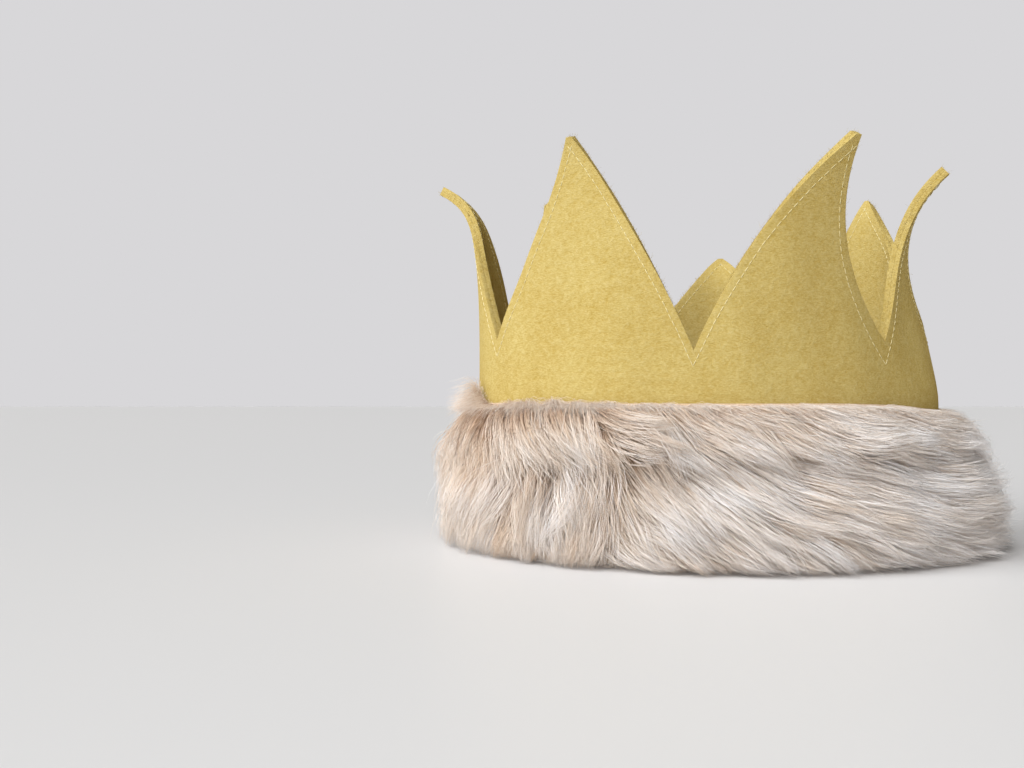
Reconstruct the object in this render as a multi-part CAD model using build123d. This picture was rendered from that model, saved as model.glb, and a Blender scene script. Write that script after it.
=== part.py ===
"""A child's crown: two layers of wool felt cut into seven points, edge-stitched, with a
faux fur band round the base.

Millimetres. The origin is the centre of the head opening at table level. +X is the crown's
right, +Y its back and +Z up. Every felt piece is described on the "loop", the oval on which
the middle of the felt stands: a place on it is (share of the way round, height), and an
offset is a distance outwards from the loop.
"""

import os
from math import cos, exp, hypot, pi, sin

from build123d import *

# ---- head opening --------------------------------------------------------------------
LOOP_HALF_WIDTH = 96.5        # X half axis of the felt's middle line
LOOP_HALF_DEPTH = 68.0        # Y half axis; together they make a loop of 52 cm
LOOP_STEPS = 1440             # steps used to measure the way round the loop
WALL_POINTS = 28              # spline points in one ring of the wall

# ---- layers of the wall, as offsets from the loop ------------------------------------
FELT_THICKNESS = 1.7          # one layer of felt
INTERFACING_THICKNESS = 0.3
BOND_GAP = 0.1                # between a felt layer and the interfacing
THREAD_GAP = 0.2              # between the felt and a thread that lies on it
THREAD_THICKNESS = 0.35
FELT_INNER = INTERFACING_THICKNESS / 2 + BOND_GAP
FELT_OUTER = FELT_INNER + FELT_THICKNESS

# ---- heights -------------------------------------------------------------------------
WALL_STRAIGHT_TOP = 60.0      # the wall is upright to here and leans or curls above it
WALL_HEIGHTS = [3.0, 30.0, 57.0, 72.0, 88.0, 104.0, 120.0, 134.0, 145.0, 154.0, 167.0]

# ---- the points of the crown ---------------------------------------------------------
# The valley before each point and its tip, both as (share of the way round, height).
# A bow is how far a side bulges out of the triangle, before and after the tip.
# Curl is how far the tip turns outwards and how late: the larger the second number, the
# nearer to the tip it starts. Lean is how far the wall leans inwards, and at which share.
POINTS = [
    dict(
        valley=(0.5560, 86.0), tip=(0.6295, 162.5), bows=(-2.7, 2.5),
        curl=(3.0, 12.0), lean=(0.0, 0.6295),
    ),
    dict(
        valley=(0.7177, 80.0), tip=(0.8140, 156.5), bows=(3.5, -9.0),
        curl=(21.0, 3.0), lean=(0.0, 0.8140),
    ),
    dict(
        valley=(0.8670, 84.0), tip=(0.9150, 151.5), bows=(-2.0, -15.0),
        curl=(25.5, 5.5), lean=(17.0, 0.9500),
    ),
    dict(
        valley=(0.9830, 86.0), tip=(1.0680, 154.5), bows=(3.0, 1.0),
        curl=(5.0, 12.0), lean=(5.0, 1.0680),
    ),
    dict(
        valley=(1.1383, 84.0), tip=(1.2070, 133.0), bows=(3.0, 3.0),
        curl=(16.0, 12.0), lean=(1.0, 1.2070),
    ),
    dict(
        valley=(1.2812, 84.0), tip=(1.3796, 158.0), bows=(0.0, 0.0),
        curl=(4.0, 12.0), lean=(0.0, 1.3796),
    ),
    dict(
        valley=(1.4239, 86.0), tip=(1.4843, 155.5), bows=(-1.0, -1.0),
        curl=(21.5, 10.0), lean=(1.5, 1.4843),
    ),
]
TIP_WIDTH = 2.0               # the tips are cut a little blunt
SIDE_POINTS = 6               # spline points along one side of a point

# ---- edge stitching ------------------------------------------------------------------
STITCH_INSET = 2.8            # from the cut edge to the thread
STITCH_WIDTH = 0.6
RUN_END_SHARE = 0.02          # a run of stitching stops this share of its length short
RUN_SHORTEST = 10.0           # the blunt tips are too short for stitches of their own
CUT_REACH = 14.0              # the cutting surface reaches this far each way from the wall
INTERFACING_INSET = 1.2       # the stiffener stops short of the cut edge

# ---- seams at the back ---------------------------------------------------------------
OUTER_SEAM = 1.2812 - 1.0     # place of the outer felt's butt seam, in a valley
INNER_SEAM = OUTER_SEAM - 0.012
FUR_SEAM = 0.25               # the fur band closes at the centre of the back
SEAM_GAP = 0.3
SEAM_STITCH_PITCH = 3.0
SEAM_STITCH_LENGTH = 5.0
SEAM_STITCH_WIDTH = 0.6
SEAM_STITCH_TILT = 12         # degrees from level
FELT_SEAM_TOP = 77.0          # the felt's seams close below their valley
OUTER_SEAM_STITCHES = 62.0    # above the fur
INNER_SEAM_STITCHES = 20.0    # above the hem
FUR_SEAM_STITCHES = (8.0, 50.0)
SEAM_CUT_DEPTH = 9.0          # the slots of the seams are cut this far each way
SEAM_CUT_TOP = 120.0

# ---- fur band ------------------------------------------------------------------------
BACKING_THICKNESS = 1.1
BACKING_CLEARANCE = 0.5       # between the felt and the backing, where stitches lie
BACKING_OFFSET = FELT_OUTER + BACKING_CLEARANCE
LYING_OFFSET = FELT_OUTER + BACKING_CLEARANCE / 2    # middle of a stitch on the felt's face
BACKING_BOTTOM = 1.0
BACKING_TOP = 60.0
HEM_TOP = 15.0                # the backing is turned up inside to here
PILE_OFFSET = BACKING_OFFSET + BACKING_THICKNESS + 0.1
PILE_TOP = 64.0
# Height and offset of the outside of the pile, from the table up.
PILE_PROFILE = [
    (0.0, 19.0),
    (5.0, 23.0),
    (14.0, 24.5),
    (28.0, 24.5),
    (42.0, 22.5),
    (52.0, 19.5),
    (59.0, 14.5),
    (64.0, 8.0),
]
BAND_STITCH_COUNT = 52        # one stitch a centimetre
BAND_STITCH_LENGTH = 4.0
BAND_STITCH_WIDTH = 0.6
BAND_STITCH_TILT = 45         # degrees from level
TOP_STITCH_HEIGHT = 55.0
HEM_STITCH_HEIGHT = 11.0


# ---- the loop ------------------------------------------------------------------------
def measured_loop():
    """Angles round the oval with the distance walked to each."""
    angles = [2 * pi * i / LOOP_STEPS for i in range(LOOP_STEPS + 1)]
    walked = [0.0]
    for before, after in zip(angles, angles[1:]):
        dx = LOOP_HALF_WIDTH * (cos(after) - cos(before))
        dy = LOOP_HALF_DEPTH * (sin(after) - sin(before))
        walked.append(walked[-1] + hypot(dx, dy))
    return angles, walked


LOOP_ANGLES, LOOP_WALKED = measured_loop()
LOOP_LENGTH = LOOP_WALKED[-1]


def loop_angle(share):
    """The oval's angle at a share of the way round."""
    target = (share % 1.0) * LOOP_LENGTH
    low, high = 0, LOOP_STEPS
    while high - low > 1:
        middle = (low + high) // 2
        if LOOP_WALKED[middle] <= target:
            low = middle
        else:
            high = middle
    part = (target - LOOP_WALKED[low]) / (LOOP_WALKED[high] - LOOP_WALKED[low])
    return LOOP_ANGLES[low] + part * (LOOP_ANGLES[high] - LOOP_ANGLES[low])


def loop_place(share, offset, height):
    """The point at an offset outwards from the loop."""
    angle = loop_angle(share)
    normal = Vector(cos(angle) / LOOP_HALF_WIDTH, sin(angle) / LOOP_HALF_DEPTH).normalized()
    on_loop = Vector(LOOP_HALF_WIDTH * cos(angle), LOOP_HALF_DEPTH * sin(angle))
    return on_loop + normal * offset + Vector(0, 0, height)


# ---- how the points lean and curl ----------------------------------------------------
SLOPE_STEP = 1.0              # height over which the wall's slope is measured
STEEPEST_SLOPE = 2.0          # of the wall outwards, used to keep its thickness square to it


def eased(share, places, values):
    """A value given at seven places, eased smoothly from one to the next round the loop."""
    share = places[0] + (share - places[0]) % 1.0
    places = places + [places[0] + 1.0]
    values = values + values[:1]
    for i in range(len(POINTS)):
        if share <= places[i + 1]:
            part = (share - places[i]) / (places[i + 1] - places[i])
            ease = (1 - cos(pi * part)) / 2
            return values[i] + ease * (values[i + 1] - values[i])
    return values[0]


def curl_shape(rise, lateness):
    """Share of the full curl at a share of the point's height, levelling off over the tip."""
    if rise <= 1:
        return 0.2 * rise**2 + 0.8 * rise**lateness
    return 1 + 0.35 * (1 - exp(-28.6 * (rise - 1)))


def lean_shape(rise):
    """Share of the full inward lean: it starts gently and flattens out."""
    return 1.6 * rise**2 / (rise + 0.12) * exp(-0.3 * rise**2)


def flare(share, height):
    """How far the middle of the wall stands outwards from the loop."""
    if height <= WALL_STRAIGHT_TOP:
        return 0.0
    tips = [point["tip"][0] for point in POINTS]
    tip_height = eased(share, tips, [point["tip"][1] for point in POINTS])
    curl = eased(share, tips, [point["curl"][0] for point in POINTS])
    lateness = eased(share, tips, [point["curl"][1] for point in POINTS])
    leans = [point["lean"][1] for point in POINTS]
    lean = eased(share, leans, [point["lean"][0] for point in POINTS])
    rise = (height - WALL_STRAIGHT_TOP) / (tip_height - WALL_STRAIGHT_TOP)
    return curl * curl_shape(rise, lateness) - lean * lean_shape(rise)


def wall_place(share, offset, height):
    """A point on the surface that lies at an offset square to the leaning wall."""
    low = flare(share, height - SLOPE_STEP / 2)
    high = flare(share, height + SLOPE_STEP / 2)
    slope = min(abs(high - low) / SLOPE_STEP, STEEPEST_SLOPE)
    return loop_place(share, flare(share, height) + offset * hypot(1, slope), height)


# ---- rings and walls -----------------------------------------------------------------
def wall_ring(offset, height):
    """Closed outline of the wall surface at one height."""
    places = [wall_place(i / WALL_POINTS, offset, height) for i in range(WALL_POINTS)]
    return Wire([Edge.make_spline(places, periodic=True)])


def straight_body(offset, bottom, top):
    """Everything inside an upright ring."""
    return extrude(Face(wall_ring(offset, bottom)), top - bottom, dir=(0, 0, 1))


def straight_tube(inner, outer, bottom, top):
    """Upright tube between two offsets."""
    return straight_body(outer, bottom, top) - straight_body(inner, bottom, top)


def wall_body(offset):
    """Everything inside one flaring surface of the wall, from the felt's bottom edge up."""
    return Solid.make_loft([wall_ring(offset, height) for height in WALL_HEIGHTS])


def wall_layer(inner, outer):
    """Uncut layer of the wall between two offsets."""
    return wall_body(outer) - wall_body(inner)


# ---- the cut outline -----------------------------------------------------------------
def flat(place):
    """(share, height) as millimetres on the unrolled wall."""
    return Vector(place[0] * LOOP_LENGTH, place[1])


def mitred(corner, before, after, inset):
    """A corner moved so that both of its sides move by the inset, to the left of travel."""
    into = (corner - before).normalized()
    out = (after - corner).normalized()
    left_in = Vector(-into.Y, into.X)
    left_out = Vector(-out.Y, out.X)
    middle = (left_in + left_out).normalized()
    return corner - middle * (inset / middle.dot(left_in))


def side_control(start, end, bow):
    """The control point that bows a side by a distance."""
    along = (end - start).normalized()
    return (start + end) / 2 + Vector(-along.Y, along.X) * (2 * bow)


def cut_sides(inset):
    """Sides of all points as (start, control, end) on the unrolled wall, inset from the cut."""
    corners = []
    bows = []
    half_tip = Vector(TIP_WIDTH / 2, 0)
    for point in POINTS:
        tip = flat(point["tip"])
        corners += [flat(point["valley"]), tip - half_tip, tip + half_tip]
        bows += [point["bows"][0], 0.0, point["bows"][1]]
    whole_turn = Vector(LOOP_LENGTH, 0)
    closed = [corners[-1] - whole_turn] + corners + [corners[0] + whole_turn]
    closed += [corners[1] + whole_turn]
    moved = []
    for before, corner, after in zip(closed, closed[1:], closed[2:]):
        moved.append(mitred(corner, before, after, inset))
    sides = []
    for i in range(len(corners)):
        control = side_control(moved[i], moved[i + 1], bows[i])
        sides.append((moved[i], control, moved[i + 1]))
    return sides


def cut_sheet(inset, reach):
    """The zigzag surface that cuts the wall, square to it, reaching both ways."""
    faces = []
    for start, control, end in cut_sides(inset):
        edges = []
        for offset in (-reach, reach):
            places = []
            for i in range(SIDE_POINTS):
                t = i / (SIDE_POINTS - 1)
                spot = start * (1 - t) ** 2 + control * (2 * t * (1 - t)) + end * t**2
                share = spot.X / LOOP_LENGTH
                places.append(loop_place(share, flare(share, spot.Y) + offset, spot.Y))
            edges.append(Edge.make_spline(places))
        faces.append(Face.make_surface_from_curves(*edges))
    return Shell(faces)


def below_cut(layer, inset):
    """The part of an uncut layer that lies below the zigzag."""
    pieces = layer.split(cut_sheet(inset, CUT_REACH), keep=Keep.ALL)
    return min(pieces, key=lambda piece: piece.bounding_box().min.Z + piece.center().Z)


def seam_slot(share):
    """A thin upright block across the wall at one place of the loop."""
    middle = loop_place(share, 0, SEAM_CUT_TOP / 2)
    outwards = loop_place(share, 1, 0) - loop_place(share, 0, 0)
    plane = Plane(origin=middle, x_dir=outwards, z_dir=(0, 0, 1))
    return plane * Box(2 * SEAM_CUT_DEPTH, SEAM_GAP, SEAM_CUT_TOP)


# ---- felt ----------------------------------------------------------------------------
def outer_felt():
    layer = below_cut(wall_layer(FELT_INNER, FELT_OUTER), 0.0)
    return layer - seam_slot(OUTER_SEAM)


def inner_felt():
    layer = below_cut(wall_layer(-FELT_OUTER, -FELT_INNER), 0.0)
    return layer - seam_slot(INNER_SEAM)


def interfacing():
    half = INTERFACING_THICKNESS / 2
    return below_cut(wall_layer(-half, half), INTERFACING_INSET)


# ---- edge stitching ------------------------------------------------------------------
def thread_section(spot, along, inner):
    """Cross-section of the thread at a spot of the unrolled wall, square to its run."""
    across = Vector(-along.Y, along.X) * 0.5
    low = spot - across
    high = spot + across
    width = wall_place(high.X / LOOP_LENGTH, inner, high.Y)
    width = (width - wall_place(low.X / LOOP_LENGTH, inner, low.Y)) * (STITCH_WIDTH / 2)
    near = wall_place(spot.X / LOOP_LENGTH, inner, spot.Y)
    far = wall_place(spot.X / LOOP_LENGTH, inner + THREAD_THICKNESS, spot.Y)
    places = [near - width, near + width, far + width, far - width]
    return Wire.make_polygon(places, close=True)


def topstitch(inner):
    """Thread that follows the cut edge on one face, one run for each side of a point."""
    runs = []
    for start, control, end in cut_sides(STITCH_INSET + STITCH_WIDTH / 2):
        if (end - start).length < RUN_SHORTEST:
            continue
        sections = []
        for i in range(SIDE_POINTS + 1):
            t = RUN_END_SHARE + (1 - 2 * RUN_END_SHARE) * i / SIDE_POINTS
            spot = start * (1 - t) ** 2 + control * (2 * t * (1 - t)) + end * t**2
            along = (control - start) * (1 - t) + (end - control) * t
            sections.append(thread_section(spot, along.normalized(), inner))
        runs.append(Solid.make_loft(sections, ruled=True))
    return Compound(runs)


def topstitch_needle_thread():
    return topstitch(FELT_OUTER + THREAD_GAP)


def topstitch_bobbin_thread():
    return topstitch(-FELT_OUTER - THREAD_GAP - THREAD_THICKNESS)


# ---- stitches in rows ----------------------------------------------------------------
def lying_stitch(share, offset, height, length, width, tilt):
    """One short thread lying against the wall, turned by tilt degrees from level."""
    middle = loop_place(share, offset, height)
    outwards = loop_place(share, 1, 0) - loop_place(share, 0, 0)
    plane = Plane(origin=middle, x_dir=outwards, z_dir=(0, 0, 1))
    return plane * Rot(tilt, 0, 0) * Box(THREAD_THICKNESS * 0.7, length, width)


def seam_stitches(share, offset, bottom, top):
    """Whip stitches up a butt seam."""
    count = int((top - bottom) / SEAM_STITCH_PITCH)
    stitches = []
    for i in range(count + 1):
        height = bottom + i * SEAM_STITCH_PITCH
        stitches.append(
            lying_stitch(
                share, offset, height, SEAM_STITCH_LENGTH, SEAM_STITCH_WIDTH, SEAM_STITCH_TILT
            )
        )
    return Compound(stitches)


def band_stitches(offset, height):
    """Slanted stitches all round the band."""
    stitches = []
    for i in range(BAND_STITCH_COUNT):
        share = (i + 0.5) / BAND_STITCH_COUNT
        stitches.append(
            lying_stitch(
                share, offset, height, BAND_STITCH_LENGTH, BAND_STITCH_WIDTH, BAND_STITCH_TILT
            )
        )
    return Compound(stitches)


def fur_top_stitches():
    return band_stitches(LYING_OFFSET, TOP_STITCH_HEIGHT)


def fur_hem_stitches():
    return band_stitches(-LYING_OFFSET, HEM_STITCH_HEIGHT)


def outer_felt_seam_thread():
    return seam_stitches(OUTER_SEAM, LYING_OFFSET, OUTER_SEAM_STITCHES, FELT_SEAM_TOP)


def inner_felt_seam_thread():
    return seam_stitches(INNER_SEAM, -LYING_OFFSET, INNER_SEAM_STITCHES, FELT_SEAM_TOP)


def fur_seam_thread():
    return seam_stitches(FUR_SEAM, LYING_OFFSET, *FUR_SEAM_STITCHES)


# ---- fur band ------------------------------------------------------------------------
def fur_backing():
    """Ground fabric outside the felt, wrapped under its edge and turned up inside."""
    inside = BACKING_OFFSET
    outside = BACKING_OFFSET + BACKING_THICKNESS
    floor_top = BACKING_BOTTOM + BACKING_THICKNESS
    outer_wall = straight_tube(inside, outside, BACKING_BOTTOM, BACKING_TOP)
    hem = straight_tube(-outside, -inside, BACKING_BOTTOM, HEM_TOP)
    under = straight_tube(-inside, inside, BACKING_BOTTOM, floor_top)
    ring = outer_wall + under + hem
    return ring - seam_slot(FUR_SEAM)


def fur_pile():
    """Outer envelope of the brushed pile, from the table to just over the band's top."""
    rings = [wall_ring(offset, height) for height, offset in PILE_PROFILE]
    return Solid.make_loft(rings) - straight_body(PILE_OFFSET, -1.0, PILE_TOP + 1)


NODES = {
    "outer_felt": outer_felt,
    "inner_felt": inner_felt,
    "interfacing": interfacing,
    "topstitch_needle_thread": topstitch_needle_thread,
    "topstitch_bobbin_thread": topstitch_bobbin_thread,
    "outer_felt_seam_thread": outer_felt_seam_thread,
    "inner_felt_seam_thread": inner_felt_seam_thread,
    "fur_backing": fur_backing,
    "fur_pile": fur_pile,
    "fur_top_stitches": fur_top_stitches,
    "fur_hem_stitches": fur_hem_stitches,
    "fur_seam_thread": fur_seam_thread,
}

os.makedirs("parts", exist_ok=True)
for name, make in NODES.items():
    export_step(make(), os.path.join("parts", name + ".step"))
print("loop length", round(LOOP_LENGTH, 1))
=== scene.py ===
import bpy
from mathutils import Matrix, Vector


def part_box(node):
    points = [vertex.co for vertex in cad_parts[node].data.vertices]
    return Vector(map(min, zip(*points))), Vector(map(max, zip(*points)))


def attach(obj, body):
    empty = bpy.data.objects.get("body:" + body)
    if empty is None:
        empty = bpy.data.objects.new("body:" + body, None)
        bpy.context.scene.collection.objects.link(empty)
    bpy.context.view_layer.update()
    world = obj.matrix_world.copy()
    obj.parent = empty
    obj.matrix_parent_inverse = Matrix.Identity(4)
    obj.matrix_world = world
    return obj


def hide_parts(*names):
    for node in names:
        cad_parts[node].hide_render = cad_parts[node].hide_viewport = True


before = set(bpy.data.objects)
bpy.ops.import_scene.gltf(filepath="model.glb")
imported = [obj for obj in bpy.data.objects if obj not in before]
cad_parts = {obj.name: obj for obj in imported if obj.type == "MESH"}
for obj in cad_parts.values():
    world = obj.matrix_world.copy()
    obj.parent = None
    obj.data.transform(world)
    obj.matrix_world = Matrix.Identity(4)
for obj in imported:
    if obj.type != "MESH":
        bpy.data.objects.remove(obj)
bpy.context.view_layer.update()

"""Looks of a child's felt crown with a faux fur band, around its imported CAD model.

Metres, in the CAD frame: origin at the centre of the head opening on the table, +X right,
+Y back, +Z up. As in the CAD, the loop is the oval on which the middle of the felt stands,
a place on the wall is (share of the way round the loop, height), and an offset is a
distance outwards from the loop.
"""

import math

import bpy
import numpy as np
from mathutils import Vector

MM = 0.001
RNG = np.random.default_rng(7)

# ---- sizes ------------------------
LOOP_HALF_WIDTH = 96.5 * MM      # half axes of the felt's middle line, 52 cm round
LOOP_HALF_DEPTH = 68.0 * MM
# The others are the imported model's.
FELT_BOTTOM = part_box("outer_felt")[0].z
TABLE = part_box("fur_pile")[0].z
WALL_STRAIGHT_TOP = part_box("fur_backing")[1].z   # above it the wall leans or curls

# ---- layers of the wall ------------------------
FELT_THICKNESS = 1.97 * MM
FELT_MIDDLE = 1.0 * MM           # offset of each felt layer's middle from the loop
FELT_FACE = FELT_MIDDLE + FELT_THICKNESS / 2
FELT_RIM = 0.25 * MM             # rounding of the felt's edges
INTERFACING_THICKNESS = 0.02 * MM
INTERFACING_INSET = 1.2 * MM     # the stiffener stops short of the cut edge

# ---- the points of the crown ------------------------
# The valley before each point and its tip, both as (share, height in mm), and how far the
# two sides bow out in mm. Curl is how far the tip turns outwards in mm and how late: the
# larger the second number, the nearer to the tip it starts. Lean is how far the wall leans
# inwards in mm, and at which share.
POINTS = [
    dict(
        valley=(0.5560, 86.0), tip=(0.6295, 162.5), bows=(-2.7, 2.5),
        curl=(3.0, 12.0), lean=(0.0, 0.6295),
    ),
    dict(
        valley=(0.7177, 80.0), tip=(0.8140, 156.5), bows=(3.5, -9.0),
        curl=(21.0, 3.0), lean=(0.0, 0.8140),
    ),
    dict(
        valley=(0.8670, 84.0), tip=(0.9150, 151.5), bows=(-2.0, -15.0),
        curl=(25.5, 5.5), lean=(17.0, 0.9500),
    ),
    dict(
        valley=(0.9830, 86.0), tip=(1.0680, 154.5), bows=(3.0, 1.0),
        curl=(5.0, 12.0), lean=(5.0, 1.0680),
    ),
    dict(
        valley=(1.1383, 84.0), tip=(1.2070, 133.0), bows=(3.0, 3.0),
        curl=(16.0, 12.0), lean=(1.0, 1.2070),
    ),
    dict(
        valley=(1.2812, 84.0), tip=(1.3796, 158.0), bows=(0.0, 0.0),
        curl=(4.0, 12.0), lean=(0.0, 1.3796),
    ),
    dict(
        valley=(1.4239, 86.0), tip=(1.4843, 155.5), bows=(-1.0, -1.0),
        curl=(21.5, 10.0), lean=(1.5, 1.4843),
    ),
]
TIP_WIDTH = 2.0 * MM             # the tips are cut a little blunt

# ---- seams at the back ------------------------
OUTER_SEAM = 1.2812              # the outer felt's butt seam is in this valley
INNER_SEAM = OUTER_SEAM - 0.012
FUR_SEAM = 0.25                  # the fur band closes at the centre of the back
SEAM_HALF_GAP = 0.12 * MM

# ---- the loop and the flaring wall ------------------------
RISE_MOST = 1.1                  # of a point's height, where its curl and lean end
SLOPE_STEP = 0.3 * MM            # step over which the wall's direction is measured
LOOP_STEPS = 4000


def measured_loop():
    """Angles round the oval with the distance walked to each."""
    angle = np.linspace(0, 2 * np.pi, LOOP_STEPS + 1)
    x = LOOP_HALF_WIDTH * np.cos(angle)
    y = LOOP_HALF_DEPTH * np.sin(angle)
    walked = np.concatenate([[0.0], np.cumsum(np.hypot(np.diff(x), np.diff(y)))])
    return angle, walked


LOOP_ANGLES, LOOP_WALKED = measured_loop()
LOOP_LENGTH = LOOP_WALKED[-1]


def loop_place(share, offset, height):
    """Points at an offset outwards from the loop, one for each share."""
    angle = np.interp(np.mod(share, 1.0) * LOOP_LENGTH, LOOP_WALKED, LOOP_ANGLES)
    nx = np.cos(angle) / LOOP_HALF_WIDTH
    ny = np.sin(angle) / LOOP_HALF_DEPTH
    size = np.hypot(nx, ny)
    x = LOOP_HALF_WIDTH * np.cos(angle) + nx / size * offset
    y = LOOP_HALF_DEPTH * np.sin(angle) + ny / size * offset
    return np.stack([x, y, np.broadcast_to(height, x.shape)], axis=-1)


def eased(share, places, values):
    """Values given at seven places, eased smoothly from one to the next round the loop."""
    places = np.array(places + [places[0] + 1.0])
    values = np.array(values + [values[0]])
    share = places[0] + np.mod(share - places[0], 1.0)
    i = np.clip(np.searchsorted(places, share, side="right") - 1, 0, len(POINTS) - 1)
    part = (share - places[i]) / (places[i + 1] - places[i])
    ease = (1 - np.cos(np.pi * part)) / 2
    return values[i] + ease * (values[i + 1] - values[i])


def curl_shape(rise, lateness):
    """Share of the full curl at a share of the point's height."""
    return 0.2 * rise**2 + 0.8 * rise**lateness


def lean_shape(rise):
    """Share of the full inward lean: it starts gently and flattens out."""
    return 1.6 * rise**2 / (rise + 0.12) * np.exp(-0.3 * rise**2)


def flare(share, height):
    """How far the middle of the wall stands outwards from the loop."""
    tips = [point["tip"][0] for point in POINTS]
    tip_height = eased(share, tips, [point["tip"][1] * MM for point in POINTS])
    curl = eased(share, tips, [point["curl"][0] * MM for point in POINTS])
    lateness = eased(share, tips, [point["curl"][1] for point in POINTS])
    leans = [point["lean"][1] for point in POINTS]
    lean = eased(share, leans, [point["lean"][0] * MM for point in POINTS])
    rise = (height - WALL_STRAIGHT_TOP) / (tip_height - WALL_STRAIGHT_TOP)
    rise = np.clip(rise, 0.0, RISE_MOST)
    return curl * curl_shape(rise, lateness) - lean * lean_shape(rise)


def waviness(share, height):
    """Slight unevenness of a hand-cut, soft wall."""
    turn = 2 * np.pi * share
    upper = np.clip((height - 50 * MM) / (100 * MM), 0, 1)
    slow = np.sin(5 * turn + 0.7 + 22 * height) + 0.6 * np.sin(11 * turn + 2.1 - 31 * height)
    quick = 0.35 * np.sin(23 * turn + 60 * height + 1.3)
    return (0.25 + 0.45 * upper) * MM * (slow + quick)


def wall(share, height):
    """Middle surface of the felt wall."""
    share = np.asarray(share, float)
    return loop_place(share, flare(share, height) + waviness(share, height), height)


def wall_normal(share, height):
    """Directions square to the felt wall, outwards."""
    turn = SLOPE_STEP / LOOP_LENGTH
    along = wall(share + turn, height) - wall(share - turn, height)
    up = wall(share, height + SLOPE_STEP) - wall(share, height - SLOPE_STEP)
    normal = np.cross(along, up)
    return normal / np.linalg.norm(normal, axis=-1, keepdims=True)


def wall_offset(share, height, offset):
    """Surface that lies at an offset square to the wall."""
    return wall(share, height) + wall_normal(share, height) * offset


# ---- the cut outline on the unrolled wall ------------------------
def flat(place):
    """(share, height in mm) as metres on the unrolled wall."""
    return np.array([place[0] * LOOP_LENGTH, place[1] * MM])


def unit(vector):
    """The vector at length 1."""
    return vector / np.linalg.norm(vector)


def left_of(vector):
    """The vector turned a quarter to the left."""
    return np.array([-vector[1], vector[0]])


def cut_sides(inset):
    """Both sides of every point, valley to tip and tip to valley, as quadratic curves."""
    corners = []
    bows = []
    for point in POINTS:
        tip = flat(point["tip"])
        half_tip = np.array([TIP_WIDTH / 2, 0])
        corners += [flat(point["valley"]), tip - half_tip, tip + half_tip]
        bows += [point["bows"][0] * MM, 0.0, point["bows"][1] * MM]
    turn = np.array([LOOP_LENGTH, 0])
    closed = [corners[-1] - turn] + corners + [corners[0] + turn, corners[1] + turn]
    moved = []
    for before, corner, after in zip(closed, closed[1:], closed[2:]):
        left_in = left_of(unit(corner - before))
        left_out = left_of(unit(after - corner))
        middle = unit(left_in + left_out)
        moved.append(corner - middle * (inset / middle.dot(left_in)))
    sides = []
    for i, bow in enumerate(bows):
        start, end = moved[i], moved[i + 1]
        control = (start + end) / 2 + left_of(unit(end - start)) * 2 * bow
        sides.append((start, control, end))
    return sides


def on_side(side, t):
    """Unrolled places at shares t of the way along one side."""
    start, control, end = side
    t = np.asarray(t)[..., None]
    return start * (1 - t) ** 2 + control * 2 * t * (1 - t) + end * t**2


# ---- meshes ------------------------
STRAND_SIDES = 3
THREAD_SIDES = 6


def new_object(name, verts, faces_by_size, look, uv=None):
    """A mesh object from arrays: faces_by_size is a list of (n, corners) index arrays."""
    mesh = bpy.data.meshes.new(name)
    verts = np.asarray(verts, np.float32).reshape(-1, 3)
    loops = np.concatenate([f.reshape(-1) for f in faces_by_size]).astype(np.int32)
    totals = np.concatenate([np.full(len(f), f.shape[1], np.int32) for f in faces_by_size])
    starts = np.concatenate([[0], np.cumsum(totals)[:-1]]).astype(np.int32)
    mesh.vertices.add(len(verts))
    mesh.vertices.foreach_set("co", verts.ravel())
    mesh.loops.add(len(loops))
    mesh.loops.foreach_set("vertex_index", loops)
    mesh.polygons.add(len(totals))
    mesh.polygons.foreach_set("loop_start", starts)
    mesh.polygons.foreach_set("loop_total", totals)
    mesh.polygons.foreach_set("use_smooth", np.full(len(totals), True))
    if uv is not None:
        layer = mesh.uv_layers.new(name="OFBake")
        layer.data.foreach_set("uv", np.asarray(uv, np.float32)[loops].ravel())
    mesh.update(calc_edges=True)
    mesh.validate()
    obj = bpy.data.objects.new(name, mesh)
    bpy.context.scene.collection.objects.link(obj)
    mesh.materials.append(look)
    return obj


def tubes(lines, radius, sides, up):
    """Closed thin tubes along lines (n, k, 3) with radius (n, k), up a vector per line point."""
    n, k, _ = lines.shape
    along = np.gradient(lines, axis=1)
    along /= np.linalg.norm(along, axis=2, keepdims=True) + 1e-12
    side = np.cross(along, up)
    side /= np.linalg.norm(side, axis=2, keepdims=True) + 1e-12
    other = np.cross(along, side)
    rings = []
    for j in range(sides):
        angle = 2 * np.pi * j / sides
        rings.append(lines + (side * np.cos(angle) + other * np.sin(angle)) * radius[..., None])
    verts = np.stack(rings, axis=2).reshape(-1, 3)
    index = np.arange(n * k * sides).reshape(n, k, sides)
    nxt = np.roll(index, -1, axis=2)
    quads = np.stack([index[:, :-1], nxt[:, :-1], nxt[:, 1:], index[:, 1:]], axis=-1)
    caps = np.concatenate([index[:, 0, ::-1], index[:, -1]])
    return verts, [quads.reshape(-1, 4)[:, ::-1], caps[:, ::-1]]


# ---- materials ------------------------
def material(name, roughness, sheen=0.0, specular=0.3):
    """A new material with its node tree and shader."""
    made = bpy.data.materials.new(name)
    made.use_nodes = True
    shader = made.node_tree.nodes["Principled BSDF"]
    shader.inputs["Roughness"].default_value = roughness
    shader.inputs["Specular IOR Level"].default_value = specular
    shader.inputs["Sheen Weight"].default_value = sheen
    shader.inputs["Sheen Roughness"].default_value = 0.5
    return made, made.node_tree, shader


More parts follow.
